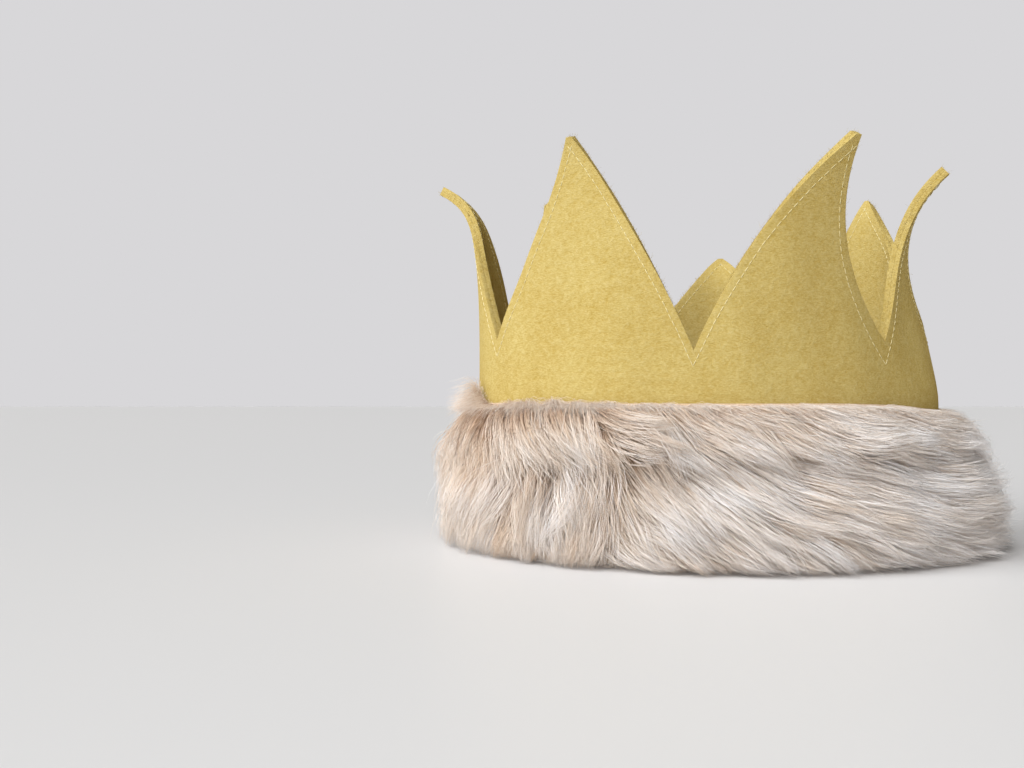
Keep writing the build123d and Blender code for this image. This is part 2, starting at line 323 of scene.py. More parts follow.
def ramp(tree, factor, stops):
    """Colour ramp over (position, colour) stops."""
    node = tree.nodes.new("ShaderNodeValToRGB")
    node.color_ramp.elements[0].position = stops[0][0]
    node.color_ramp.elements[0].color = (*stops[0][1], 1)
    node.color_ramp.elements[1].position = stops[-1][0]
    node.color_ramp.elements[1].color = (*stops[-1][1], 1)
    for position, colour in stops[1:-1]:
        element = node.color_ramp.elements.new(position)
        element.color = (*colour, 1)
    tree.links.new(factor, node.inputs["Fac"])
    return node.outputs["Color"]


def noise(tree, vector, scale, detail, roughness=0.6, stretch=None):
    """Noise of a scale per metre, optionally stretched along the axes."""
    node = tree.nodes.new("ShaderNodeTexNoise")
    node.inputs["Scale"].default_value = scale
    node.inputs["Detail"].default_value = detail
    node.inputs["Roughness"].default_value = roughness
    if stretch is not None:
        mapping = tree.nodes.new("ShaderNodeMapping")
        mapping.inputs["Scale"].default_value = stretch
        tree.links.new(vector, mapping.inputs["Vector"])
        vector = mapping.outputs["Vector"]
    tree.links.new(vector, node.inputs["Vector"])
    return node.outputs["Fac"]


def mix_colour(tree, factor, first, second):
    """Mix of two colours, each a socket or a value."""
    node = tree.nodes.new("ShaderNodeMix")
    node.data_type = "RGBA"
    for value, socket in ((factor, 0), (first, 6), (second, 7)):
        if isinstance(value, bpy.types.NodeSocket):
            tree.links.new(value, node.inputs[socket])
        else:
            node.inputs[socket].default_value = value
    return node.outputs[2]


def bump(tree, shader, heights):
    """Adds bumps from (height socket, strength, distance) one on another."""
    normal = None
    for height, strength, distance in heights:
        node = tree.nodes.new("ShaderNodeBump")
        node.inputs["Strength"].default_value = strength
        node.inputs["Distance"].default_value = distance
        tree.links.new(height, node.inputs["Height"])
        if normal is not None:
            tree.links.new(normal, node.inputs["Normal"])
        normal = node.outputs["Normal"]
    tree.links.new(normal, shader.inputs["Normal"])


def linear(r, g, b):
    """sRGB 0 to 255 as the linear colour that nodes take."""
    out = []
    for value in (r, g, b):
        c = value / 255
        out.append(c / 12.92 if c <= 0.04045 else ((c + 0.055) / 1.055) ** 2.4)
    return tuple(out)


def felt_material():
    """Mustard wool felt: clouded dye, mottle and fine fibres."""
    made, tree, shader = material("wool_felt", 0.92, sheen=0.12, specular=0.05)
    shader.inputs["Sheen Tint"].default_value = (*linear(240, 200, 96), 1)
    place = tree.nodes.new("ShaderNodeTexCoord").outputs["Object"]
    cloud = noise(tree, place, 45, 3)
    mottle = noise(tree, place, 420, 4, 0.65)
    fibre = noise(tree, place, 900, 3, 0.7, stretch=(1, 1, 2.6))
    base = ramp(tree, mottle, [
        (0.28, linear(173, 145, 70)),
        (0.5, linear(185, 161, 94)),
        (0.72, linear(197, 176, 116)),
    ])
    clouded = mix_colour(tree, 0.35, base, ramp(tree, cloud, [
        (0.35, linear(168, 138, 58)),
        (0.65, linear(188, 166, 98)),
    ]))
    final = mix_colour(tree, 0.3, clouded, ramp(tree, fibre, [
        (0.35, linear(146, 115, 42)),
        (0.65, linear(208, 190, 134)),
    ]))
    tree.links.new(final, shader.inputs["Base Color"])
    bump(tree, shader, [(mottle, 0.75, 0.4 * MM), (fibre, 0.65, 0.25 * MM)])
    return made


def thread_material(name, colour):
    """Sewing thread with darker specks."""
    made, tree, shader = material(name, 0.6, sheen=0.2, specular=0.35)
    place = tree.nodes.new("ShaderNodeTexCoord").outputs["Object"]
    twist = noise(tree, place, 2500, 2)
    tree.links.new(ramp(tree, twist, [
        (0.3, linear(*(0.88 * c for c in colour))),
        (0.7, linear(*colour)),
    ]), shader.inputs["Base Color"])
    return made


def fabric_material(name, dark, light, scale):
    """Knitted or bonded cloth: fine columns with a mottled colour."""
    made, tree, shader = material(name, 0.9, sheen=0.2, specular=0.2)
    place = tree.nodes.new("ShaderNodeTexCoord").outputs["Object"]
    knit = noise(tree, place, scale, 2, 0.5, stretch=(1, 1, 0.35))
    mottle = noise(tree, place, scale / 12, 3)
    base = ramp(tree, knit, [(0.35, linear(*dark)), (0.65, linear(*light))])
    tree.links.new(mix_colour(tree, 0.3, base, ramp(tree, mottle, [
        (0.3, linear(*dark)), (0.7, linear(*light)),
    ])), shader.inputs["Base Color"])
    bump(tree, shader, [(knit, 0.6, 0.3 * MM)])
    return made


def fur_material():
    """Colour by the strands' own map: tone across, root to tip upwards."""
    made, tree, shader = material("long_pile", 0.7, sheen=0.4, specular=0.08)
    uv = tree.nodes.new("ShaderNodeUVMap")
    uv.uv_map = "OFBake"
    split = tree.nodes.new("ShaderNodeSeparateXYZ")
    tree.links.new(uv.outputs["UV"], split.inputs["Vector"])
    tone, along = split.outputs["X"], split.outputs["Y"]
    tip = ramp(tree, tone, [
        (0.05, linear(220, 192, 164)),
        (0.25, linear(238, 218, 198)),
        (0.5, linear(247, 233, 219)),
        (0.75, linear(252, 243, 236)),
        (0.95, linear(254, 249, 246)),
    ])
    # The roots are a deeper tan than the tips: partly the pile's own darker base, partly painted
    # shade in the depths of the pile.
    root = ramp(tree, tone, [
        (0.05, linear(164, 116, 76)),
        (0.35, linear(202, 163, 125)),
        (0.65, linear(236, 211, 186)),
        (0.95, linear(251, 240, 229)),
    ])
    # Root colour holds up to about half the strand's length: partly its own colour, partly
    # painted shade deep in the pile.
    part = ramp(tree, along, [
        (0.0, (0.0, 0.0, 0.0)),
        (0.3, (0.25, 0.25, 0.25)),
        (0.6, (1.0, 1.0, 1.0)),
    ])
    tree.links.new(mix_colour(tree, part, root, tip), shader.inputs["Base Color"])
    return made


# ---- felt ------------------------
PANEL_COLUMNS = 30
LOW_ROWS = 22                    # below the valleys
HIGH_ROWS = 46                   # from the valleys to the tips
TIP_CROWDING = 0.92              # below 1 the rows crowd together towards the tip
WELD_REACH = 0.03 * MM
RIM_SEGMENTS = 3
RIM_ANGLE = math.radians(50)     # sharper edges than this are rounded


def felt_panel(sides, i, bottom):
    """Grid of (share, height) over one point and the wall below it."""
    left, right = sides[3 * i], sides[3 * i + 2]
    tip_t = np.linspace(0, 1, HIGH_ROWS + 1) ** TIP_CROWDING
    left_edge = on_side(left, tip_t)
    right_edge = on_side(right, 1 - tip_t)
    across = np.linspace(0, 1, PANEL_COLUMNS + 1)[None, :, None]
    high = left_edge[:, None] * (1 - across) + right_edge[:, None] * across
    drop = np.linspace(1, 0, LOW_ROWS + 1)[:-1, None]
    low = np.repeat(high[:1], LOW_ROWS, axis=0).copy()
    low[..., 1] = low[..., 1] * (1 - drop) + bottom * drop
    grid = np.concatenate([low, high])
    return grid[..., 0] / LOOP_LENGTH, grid[..., 1]


def at_outer_seam(i):
    """True where the outer seam is in the valley before point i."""
    return POINTS[i % len(POINTS)]["valley"][0] == OUTER_SEAM


def panel_area(share, height):
    """Area of one panel laid flat, row by row as trapezia."""
    width = (share[:, -1] - share[:, 0]) * LOOP_LENGTH
    return ((width[1:] + width[:-1]) / 2 * np.diff(height.mean(axis=1))).sum()


def felt_layer(name, offset, thickness, inset, look, rim=FELT_RIM):
    """One cut layer of cloth: panels joined into a loop, given its thickness and soft rims."""
    sides = cut_sides(inset)
    verts, quads, area = [], [], 0.0
    count = 0
    for i in range(len(POINTS)):
        share, height = felt_panel(sides, i, FELT_BOTTOM)
        if at_outer_seam(i):
            share[: LOW_ROWS + 1, 0] += SEAM_HALF_GAP / LOOP_LENGTH
        if at_outer_seam(i + 1):
            share[: LOW_ROWS + 1, -1] -= SEAM_HALF_GAP / LOOP_LENGTH
        rows, columns = share.shape
        verts.append(wall_offset(share, height, offset).reshape(-1, 3))
        index = count + np.arange(rows * columns).reshape(rows, columns)
        quads.append(np.stack([
            index[:-1, :-1], index[:-1, 1:], index[1:, 1:], index[1:, :-1],
        ], axis=-1).reshape(-1, 4))
        count += rows * columns
        area += panel_area(share, height)
    obj = new_object(name, np.concatenate(verts), [np.concatenate(quads)], look)
    weld = obj.modifiers.new("weld", "WELD")
    weld.merge_threshold = WELD_REACH
    solid = obj.modifiers.new("thickness", "SOLIDIFY")
    solid.thickness = thickness
    solid.offset = 0.0
    solid.use_even_offset = True
    if rim:
        soft = obj.modifiers.new("rim", "BEVEL")
        soft.width = rim
        soft.segments = RIM_SEGMENTS
        soft.limit_method = "ANGLE"
        soft.angle_limit = RIM_ANGLE
    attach(obj, "root")
    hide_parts(name)


# ---- loose fibres on the cut edges ------------------------
FIBRE_PITCH = 1.15 / 9000        # one fibre to this length of cut edge
FIBRE_LENGTHS = (0.35 * MM, 1.3 * MM)
FIBRE_RADII = np.array([0.035, 0.03, 0.015]) * MM    # root, middle and tip
FIBRE_SPREAD = 0.55              # how far their directions scatter
FIBRE_BEND = 0.3                 # of the length
FIBRE_SINK = 0.15 * MM           # the roots start this far inside the edge
OUT_OF_EDGE = 1.0 * MM           # step over which the direction out of the edge is measured


def felt_fibres(name, look):
    """Short fibres standing out of the cut edges of the felt."""
    bases, aims, normals = [], [], []
    for inner_side, outer_side in zip(cut_sides(0.0), cut_sides(-OUT_OF_EDGE)):
        length = np.linalg.norm(inner_side[2] - inner_side[0])
        n = int(length / FIBRE_PITCH)
        t = RNG.uniform(0, 1, n)
        spot, beyond = on_side(inner_side, t), on_side(outer_side, t)
        share, height = spot[:, 0] / LOOP_LENGTH, spot[:, 1]
        depth = RNG.uniform(-FELT_THICKNESS, FELT_THICKNESS, n)[:, None]
        normal = wall_normal(share, height)
        base = wall(share, height) + normal * depth
        aim = wall(beyond[:, 0] / LOOP_LENGTH, beyond[:, 1]) + normal * depth - base
        bases.append(base - FIBRE_SINK / OUT_OF_EDGE * aim)
        aims.append(aim)
        normals.append(normal)
    base, aim, normal = (np.concatenate(part) for part in (bases, aims, normals))
    n = len(base)
    aim = aim / np.linalg.norm(aim, axis=1, keepdims=True)
    aim = aim + RNG.normal(0, FIBRE_SPREAD, (n, 3))
    length = RNG.uniform(*FIBRE_LENGTHS, n)[:, None]
    bend = RNG.normal(0, FIBRE_BEND, (n, 3)) * length
    lines = np.stack([base, base + aim * length * 0.5 + bend, base + aim * length], axis=1)
    up = np.repeat(normal[:, None], 3, axis=1)
    verts, faces = tubes(lines, np.broadcast_to(FIBRE_RADII, (n, 3)), STRAND_SIDES, up)
    obj = new_object(name, verts, faces, look)
    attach(obj, "root")
    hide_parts("outer_felt")


# ---- stitches ------------------------
THREAD_RADIUS = 0.15 * MM
STITCH_POINTS = 6                # along one stitch
STITCH_INSET = 3.1 * MM          # from the cut edge to the thread
STITCH_LENGTH = 2.3 * MM
STITCH_PITCH = 2.7 * MM
STITCH_START = 0.08              # of the pitch, before each stitch
STITCH_WANDER = 0.05 * MM
STITCH_SINK = 0.12 * MM          # the ends' depth in the felt
STITCH_RISE = 0.22 * MM          # of the middle above the ends
RUN_SHORTEST = 10 * MM           # the blunt tips are too short for stitches of their own
LYING = 2.25 * MM                # offset of a stitch between the felt and the fur's backing
SEAM_PITCH = 3.0                 # mm, as are the seams' lowest stitch and where they stop
OUTER_SEAM_STITCHES = (62, 80)
INNER_SEAM_STITCHES = (20, 78)
FUR_SEAM_STITCHES = (8, 52)
FELT_SEAM_STITCH = (4.5 * MM, 1.0 * MM)     # its run along the loop and its climb
FUR_SEAM_STITCH = (4.0 * MM, 0.8 * MM)
BAND_STITCH = (2.8 * MM, 2.8 * MM)
BAND_STITCH_COUNT = 52           # one stitch a centimetre
TOP_STITCH_HEIGHT = 55.0 * MM
HEM_STITCH_HEIGHT = 11.0 * MM
ROW_RISE = 0.25 * MM             # of a seam stitch's middle above its ends


def thread_object(name, lines, normals, look):
    """Short thread lines as round threads, their thinner ends sinking into the cloth."""
    taper = np.sin(np.linspace(0.12, 0.88, STITCH_POINTS) * np.pi) ** 0.4
    radius = np.broadcast_to(THREAD_RADIUS * taper, lines.shape[:2])
    verts, faces = tubes(lines, radius, THREAD_SIDES, normals)
    obj = new_object(name, verts, faces, look)
    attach(obj, "root")
    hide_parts(name)


def topstitch(name, face, look):
    """Stitches along every side of every point, on the outer (1) or inner (-1) face."""
    rise = np.sin(np.linspace(0, 1, STITCH_POINTS) * np.pi)
    lift = FELT_FACE - STITCH_SINK + STITCH_RISE * rise
    lines, normals = [], []
    for side in cut_sides(STITCH_INSET):
        length = np.linalg.norm(side[2] - side[0])
        if length < RUN_SHORTEST:
            continue
        count = int(length / STITCH_PITCH)
        for j in range(count):
            t0 = (j + STITCH_START) / count
            t1 = t0 + STITCH_LENGTH / STITCH_PITCH / count
            spot = on_side(side, np.linspace(t0, t1, STITCH_POINTS))
            spot = spot + RNG.normal(0, STITCH_WANDER, 2)
            share, height = spot[:, 0] / LOOP_LENGTH, spot[:, 1]
            normal = wall_normal(share, height) * face
            lines.append(wall(share, height) + normal * lift[:, None])
            normals.append(normal)
    thread_object(name, np.array(lines), np.array(normals), look)


def row_stitches(name, shares, heights, offset, stitch, look):
    """Short slanted stitches, each with its run and climb, at places of the upright wall."""
    run, climb = stitch
    t = np.linspace(-0.5, 0.5, STITCH_POINTS)
    rise = np.cos(t * np.pi) * ROW_RISE * np.sign(offset)
    share = shares[:, None] + t * run / LOOP_LENGTH
    height = heights[:, None] + t * climb
    radial = np.broadcast_to(offset + rise, share.shape)
    lines = loop_place(share, radial, height)
    normals = loop_place(share, radial + np.sign(offset) * MM, height) - lines
    normals /= np.linalg.norm(normals, axis=2, keepdims=True)
    thread_object(name, lines, normals, look)


def seam(name, share, reach, offset, stitch, look):
    """An upright row of stitches at one place of the loop, over a reach of heights."""
    heights = np.arange(*reach, SEAM_PITCH) * MM
    shares = np.full(len(heights), share)
    row_stitches(name, shares, heights, offset, stitch, look)


def band_row(name, height, offset, look):
    """A level row of stitches round the fur band."""
    shares = (np.arange(BAND_STITCH_COUNT) + 0.5) / BAND_STITCH_COUNT
    heights = np.full(BAND_STITCH_COUNT, height)
    row_stitches(name, shares, heights, offset, BAND_STITCH, look)


# ---- ground fabric of the fur band ------------------------
# Its section as (offset, height) in mm: up the outside, down the felt, under its edge and
# turned up inside.
BACKING_PROFILE = [
    (2.55, 60.0), (2.45, 30.0), (2.45, 2.4), (1.8, 2.1), (-1.8, 2.1), (-2.45, 2.4),
    (-2.5, 15.0), (-3.0, 15.3), (-3.5, 15.0), (-3.55, 2.0), (-2.9, 1.1), (0.0, 1.0),
    (2.9, 1.1), (3.55, 2.0), (3.6, 30.0), (3.6, 59.6), (3.1, 60.3),
]
BACKING_STEPS = 360              # round the loop


def fur_backing(look):
    """Ground fabric: one closed section swept round the loop."""
    share = np.arange(BACKING_STEPS) / BACKING_STEPS
    rings = []
    for offset, height in BACKING_PROFILE:
        place = share + FUR_SEAM
        rings.append(loop_place(place, offset * MM, sagged(place, height * MM)))
    verts = np.stack(rings, axis=1)
    index = np.arange(BACKING_STEPS * len(rings)).reshape(BACKING_STEPS, len(rings))
    nxt = np.roll(index, -1, axis=0)
    quads = np.stack([index, np.roll(index, -1, 1), np.roll(nxt, -1, 1), nxt], axis=-1)
    obj = new_object("fur_backing", verts, [quads.reshape(-1, 4)], look)
    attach(obj, "root")
    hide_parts("fur_backing")
    return obj


# ---- how the pile lies ------------------------
# Share of the way round, and there: the lie of the lower and of the upper tier in degrees
# below level, the share of the full stand, how much the pile whitens (partly its own paler
# colour, partly painted light on the right side, away from the window), how far the band sags
# in mm, how much of the left side's stand it has, and how strongly it gathers into tufts.
LIE = [
    (0.460, 106, 100, 0.84, -0.04, 0.0, 1.00, 0.70),
    (0.500, 108,  92, 0.82, -0.04, 0.0, 1.00, 0.70),
    (0.550, 102,  70, 0.82, -0.04, 0.0, 1.00, 0.70),
    (0.580,  92,  52, 0.86, -0.04, 0.0, 1.00, 0.75),
    (0.610,  88,  42, 0.90, -0.04, 0.0, 0.95, 0.80),
    (0.635, 100,  38, 0.93, -0.04, 0.0, 0.85, 0.80),
    (0.655,  84,  38, 0.95,  0.00, 0.0, 0.60, 0.80),
    (0.670,  54,  38, 0.97,  0.06, 0.0, 0.40, 0.70),
    (0.700,  42,  35, 1.00,  0.14, 0.0, 0.15, 0.50),
    (0.730,  36,  32, 1.00,  0.18, 0.0, 0.00, 0.42),
    (0.760,  31,  29, 1.00,  0.20, 0.0, 0.00, 0.40),
    (0.790,  26,  25, 1.02,  0.22, 0.0, 0.00, 0.40),
    (0.820,  20,  21, 1.04,  0.25, 0.0, 0.00, 0.38),
    (0.850,  14,  18, 1.06,  0.28, 0.3, 0.00, 0.36),
    (0.880,  10,  16, 1.08,  0.32, 1.0, 0.00, 0.34),
    (0.910,   7,  15, 1.10,  0.34, 2.2, 0.00, 0.34),
    (0.940,   5,  13, 1.12,  0.34, 3.0, 0.00, 0.34),
    (1.000,  10,  15, 1.08,  0.30, 2.2, 0.00, 0.36),
    (1.100,  24,  24, 1.00,  0.20, 0.0, 0.00, 0.40),
    (1.200,  38,  36, 0.97,  0.12, 0.0, 0.20, 0.50),
    (1.300,  60,  56, 0.94,  0.05, 0.0, 0.60, 0.60),
    (1.400,  90,  86, 0.88,  0.00, 0.0, 0.90, 0.70),
    (1.460, 106, 100, 0.84, -0.04, 0.0, 1.00, 0.70),
]
LIE_SHARES, LIE_LOWER, LIE_UPPER, STAND, WHITENING_AND_PAINTED_LIGHT, SAG, LEFT_SIDE, GATHERING = np.transpose(LIE)
# How far the tips stand out at heights up the band, all in mm, at the front and at the left.
STAND_HEIGHTS = [0.0, 10.0, 22.0, 32.0, 40.0, 44.5, 46.0, 53.0, 60.0]
FRONT_STANDS = [15.0, 19.0, 20.5, 17.0, 11.5, 10.0, 14.5, 12.0, 6.5]
LEFT_STANDS = [12.0, 13.5, 16.0, 17.5, 18.5, 18.5, 18.5, 17.5, 13.0]
STAND_MOST = 25.0 * MM
STAND_CURVE = 2.0                # how quickly a strand stands out near its root
TIER_HEIGHT = 45.0 * MM          # the upper tier of the pile starts here
TIER_BLEND = 2.5 * MM            # over this height for lengths, and twice that for the lie
LOWER_LENGTH, UPPER_LENGTH = 31.0 * MM, 22.0 * MM
LEFT_LONGER = 0.3                # the upper tier is longer at the left, by this share
TOP_DOWN = 18                    # least degrees below level at the top edge
TOP_FROM, TOP_BLEND = 48 * MM, 8 * MM
LIE_WANDER = 8                   # degrees, both over wide and over narrow stretches
SHORTEST_RUN = 4 * MM            # along the band, of a strand that stands right out
STAND_WANDER = 0.08              # unevenness of the stand everywhere,
LOW_WANDER = 0.16                # and more of it near the table, from LOW_TOP down
LOW_TOP = 25 * MM
STEP_GROWTH = 1.25               # above 1 the points of a strand crowd together at its root
SHORTEST_FIT = 0.2               # of its length, of a strand that would reach the table
LEAST_DROP = 0.1 * MM            # keeps a division safe where a strand doesn't fall

# ---- strands of the pile ------------------------
TUFT_SPACING = 7.5 * MM
CLUMP_SPACING = 2.4 * MM
CLUMP_STRANDS = 16
SOW_WANDER = 0.6                 # of the spacing, either way
STRAND_POINTS = 6
STRAND_RADIUS = 0.09 * MM
STRAND_TAPER = [0.8, 1.0, 0.85, 0.15]       # of the radius, at these shares of the length
STRAND_TAPER_AT = [0, 0.2, 0.6, 1.0]
FUR_PIECES = 24
TONES = 16                       # columns of the strands' colour map
NEAREST_BATCH = 2000             # places compared at a time, to save memory
ROOT_OFFSET = 3.7 * MM
ROOT_LOW = 3.0 * MM
ROOT_HIGH = 59.3 * MM
FLOOR_CLEAR, FLOOR_CLEAR_MOST = 0.35 * MM, 1.8 * MM     # of the strands' ends over the table
CLEAR_SPREAD = 0.5 * MM
STRAIGHTNESS = 0.5               # 0 follows the loop, 1 runs straight on
TUFT_SPREAD, CLUMP_SPREAD, STRAND_SPREAD = 0.09, 0.07, 0.12    # of length and of stand
TUFT_BEND, STRAND_BEND = 30, 6   # degrees
TUFT_TIGHT, TUFT_TIGHTEST = (0.4, 1.25), 0.92    # pull of clumps into their tufts
CLUMP_TIGHT, LOOSE_TIGHT = (0.35, 0.85), 0.1     # pull of strands into their clumps
TUFT_DRAW, CLUMP_DRAW = 1.6, 1.3 # how late along the strands the pull sets in
LOOSE_STAND = (0.9, 1.2)
THICKNESSES = (0.7, 1.3)         # of the strands' radius
LOOSE_SHARE = 0.06               # flyaway strands
LOOSE_UNTIDY, UNTIDY = 1.6 * MM, 0.6 * MM   # scatter of the tips
WAVINESS = 0.35 * MM             # scatter of the middles
# The under strands' darker tone is painted shade in the gaps between the locks.
UNDER_SHARE = 0.3                # short, darker strands under the others
UNDER_STAND, UNDER_STAND_LEFT = 0.78, 0.58
UNDER_LENGTH = 0.9
UNDER_PAINTED_SHADE = 0.5
# Painted shade: the pile's tone darkens towards its top edge, against the light that falls on
# its upward-facing top.
TOP_PAINTED_SHADE = 0.1                 # towards the top edge, over PAINTED_SHADE_BLEND from PAINTED_SHADE_FROM up
PAINTED_SHADE_FROM, PAINTED_SHADE_BLEND = 46 * MM, 10 * MM
TONE_WANDER = 0.10
TONE_MIDDLE = 0.46
TUFT_TONES, CLUMP_TONES, STRAND_TONES = 0.22, 0.08, 0.10       # scatter of the tone
TONE_MOST = 0.999

# ---- hairs over the band's top edge ------------------------
# Middle share, spread in shares, number, rise and most stand. None is all round the band.
EDGE_HAIRS = [
    (None, None, 5000, 1.2 * MM, 4.5 * MM),
    (None, None, 10000, 1.0 * MM, 11.0 * MM),
    (0.62, 0.10, 3500, 3.6 * MM, 6.0 * MM),
    (0.525, 0.03, 1200, 10.5 * MM, 14.0 * MM),
    (0.692, 0.014, 350, 4.5 * MM, 4.0 * MM),
]
EDGE_REACH = (2 * MM, 12 * MM)
EDGE_SINK = 0.6 * MM             # the hairs start this far inside the pile's roots
EDGE_TURN = 45                   # scatter of their direction, degrees
# The edge hairs take a share of the whitening, which is partly painted light on the right side.
EDGE_TONE, EDGE_WHITENING_AND_PAINTED_LIGHT, EDGE_TONES = 0.38, 0.6, 0.16
EDGE_THICKNESSES = (0.35, 0.7)


def round_band(share, values):
    """A value given at the places of LIE_SHARES, at any share."""
    return np.interp(LIE_SHARES[0] + np.mod(share - LIE_SHARES[0], 1.0), LIE_SHARES, values)


def sagged(share, height):
    """The band's upper part sits a little lower at the right end."""
    return height - np.clip(height / ROOT_HIGH, 0, 1) * round_band(share, SAG) * MM


def smooth_noise(share, height, seed, waves=6, cycles=28):
    """A smooth value of about -1 to 1 over the band, the same at both ends of the loop."""
    rng = np.random.default_rng(seed)
    total = np.zeros(np.broadcast(share, height).shape)
    for _ in range(waves):
        around = rng.integers(3, cycles)
        up = rng.uniform(-cycles, cycles) / (2 * ROOT_HIGH)
        total = total + np.sin(2 * np.pi * around * share + up * height + rng.uniform(0, 6.3))
    return total / math.sqrt(waves)


def tier(height, blend):
    """0 in the lower tier of the pile, 1 in the upper."""
    return np.clip((height - TIER_HEIGHT) / blend + 0.5, 0, 1)


def lie(share, height):
    """Angle of the pile, in radians below level."""
    lower = round_band(share, LIE_LOWER)
    upper = round_band(share, LIE_UPPER)
    degrees = lower + (upper - lower) * tier(height, 2 * TIER_BLEND)
    degrees = degrees + LIE_WANDER * smooth_noise(share, height, 3)
    degrees = degrees + LIE_WANDER * smooth_noise(share, height, 4, cycles=80)
    near_top = np.clip((height - TOP_FROM) / TOP_BLEND, 0, 1)
    return np.radians(np.maximum(degrees, TOP_DOWN * near_top - 90 * (1 - near_top)))


def walked_lie(share, height, run, bend):
    """Way along the loop and height at each point of the pile, following its lie."""
    along, z = share * LOOP_LENGTH, height.copy()
    ways, heights = [along], [z]
    steps = np.linspace(0, 1, STRAND_POINTS)
    start = lie(share, height)
    for t0, t1 in zip(steps, steps[1:]):
        angle = start + bend * t1
        step = run * (t1**STEP_GROWTH - t0**STEP_GROWTH)
        along = along + step * np.cos(angle)
        z = z - step * np.sin(angle)
        ways.append(along)
        heights.append(z)
    return np.stack(ways, axis=1), np.stack(heights, axis=1)


def grow(share, height, length, stand, bend, clear):
    """Lines of pile (n, points, 3) from their roots, ending where they near the table."""
    run = np.sqrt(np.maximum(length**2 - stand**2, SHORTEST_RUN**2))
    heights = walked_lie(share, height, run, bend)[1]
    drop = np.maximum(height - heights.min(axis=1), LEAST_DROP)
    fits = np.clip((height - clear) / drop, SHORTEST_FIT, 1.0)
    ways, heights = walked_lie(share, height, run * fits, bend)
    t = np.linspace(0, 1, STRAND_POINTS)[None]
    radial = ROOT_OFFSET + (stand * fits**0.35)[:, None] * (1 - (1 - t) ** STAND_CURVE)
    heights = np.maximum(sagged(ways / LOOP_LENGTH, heights), FLOOR_CLEAR)
    # A strand partly follows the loop and partly runs straight on.
    gone = ways - share[:, None] * LOOP_LENGTH
    step = 0.5 * MM / LOOP_LENGTH
    straight = loop_place(share + step, 0.0, 0.0) - loop_place(share - step, 0.0, 0.0)
    straight /= np.linalg.norm(straight, axis=1, keepdims=True)
    wrapped = share[:, None] + (1 - STRAIGHTNESS) * gone / LOOP_LENGTH
    ahead = straight[:, None] * (STRAIGHTNESS * gone)[..., None]
    return loop_place(wrapped, radial, heights) + ahead


def sown(spacing):
    """Roots sown over the band at a spacing, as shares and heights."""
    columns = int(LOOP_LENGTH / spacing)
    rows = int((ROOT_HIGH - ROOT_LOW) / spacing) + 1
    share, height = np.meshgrid(
        np.arange(columns) / columns, np.linspace(ROOT_LOW, ROOT_HIGH, rows)
    )
    share = share + RNG.uniform(-SOW_WANDER, SOW_WANDER, share.shape) / columns
    height = height + RNG.uniform(-SOW_WANDER, SOW_WANDER, height.shape) * spacing
    return share.ravel(), np.clip(height.ravel(), ROOT_LOW, ROOT_HIGH)


def lengths_and_stands(share, height, spread):
    """Length of the pile and how far its tips stand out, at roots on the band."""
    upper = tier(height, TIER_BLEND)
    length = LOWER_LENGTH + (UPPER_LENGTH - LOWER_LENGTH) * upper
    front = np.interp(height / MM, STAND_HEIGHTS, FRONT_STANDS)
    left = np.interp(height / MM, STAND_HEIGHTS, LEFT_STANDS)
    stand = (front + (left - front) * round_band(share, LEFT_SIDE)) * MM
    stand = stand * round_band(share, STAND)
    stand = stand * (1 + STAND_WANDER * smooth_noise(share, height, 11))
    low = np.clip(1 - height / LOW_TOP, 0, 1)
    locks = smooth_noise(share, 0.3 * height, 12, cycles=110)
    stand = stand * (1 + LOW_WANDER * low * locks)
    length = length * (1 + LEFT_LONGER * upper * round_band(share, LEFT_SIDE))
    length = length * RNG.normal(1, spread, len(share))
    return length, stand * RNG.normal(1, spread, len(share))


def nearest(share, height, to_share, to_height):
    """For every place the index of the nearest other place, round the loop."""
    found = np.empty(len(share), int)
    for start in range(0, len(share), NEAREST_BATCH):
        part = slice(start, start + NEAREST_BATCH)
        gap = np.mod(share[part, None] - to_share[None] + 0.5, 1.0) - 0.5
        rise = height[part, None] - to_height[None]
        found[part] = np.argmin((gap * LOOP_LENGTH) ** 2 + rise**2, axis=1)
    return found


def gathered(lines, towards, tightness, power):
    """Lines drawn together towards other lines, more and more to their tips."""
    t = np.linspace(0, 1, lines.shape[1])
    pull = (tightness[:, None] * t[None] ** power)[..., None]
    return lines * (1 - pull) + towards * pull


def edge_hairs(place, spread, count, rise, most):
    """Hairs of the top row that stand up over the felt before they fall outwards."""
    if place is None:
        share = RNG.uniform(0, 1, count)
        inwards = 1.0
    else:
        share = place + RNG.normal(0, 0.4, count) * spread
        inwards = np.clip(1 - np.abs(share - place) / spread, 0.25, 1)
    uneven = 0.7 + 0.5 * smooth_noise(share, 0.0, 5, cycles=70)
    rise = rise * inwards * np.clip(uneven, 0.25, 1.4) * RNG.uniform(0.1, 1.2, count)
    reach = RNG.uniform(*EDGE_REACH, count)
    fall = RNG.uniform(0.1, 0.9, count) * reach
    stand = RNG.uniform(0.1, 1.0, count) * most
    aim = np.radians(round_band(share, LIE_UPPER) + RNG.normal(0, EDGE_TURN, count))
    spots = []
    for t in np.linspace(0, 1, STRAND_POINTS):
        along = share * LOOP_LENGTH + reach * np.cos(aim) * t
        height = ROOT_HIGH + rise * np.sin(np.pi * min(0.8 * t, 0.6)) - fall * t**2
        radial = ROOT_OFFSET - EDGE_SINK + stand * t**1.5
        reached = along / LOOP_LENGTH
        spots.append(loop_place(reached, radial, sagged(reached, height)))
    return share, np.stack(spots, axis=1)


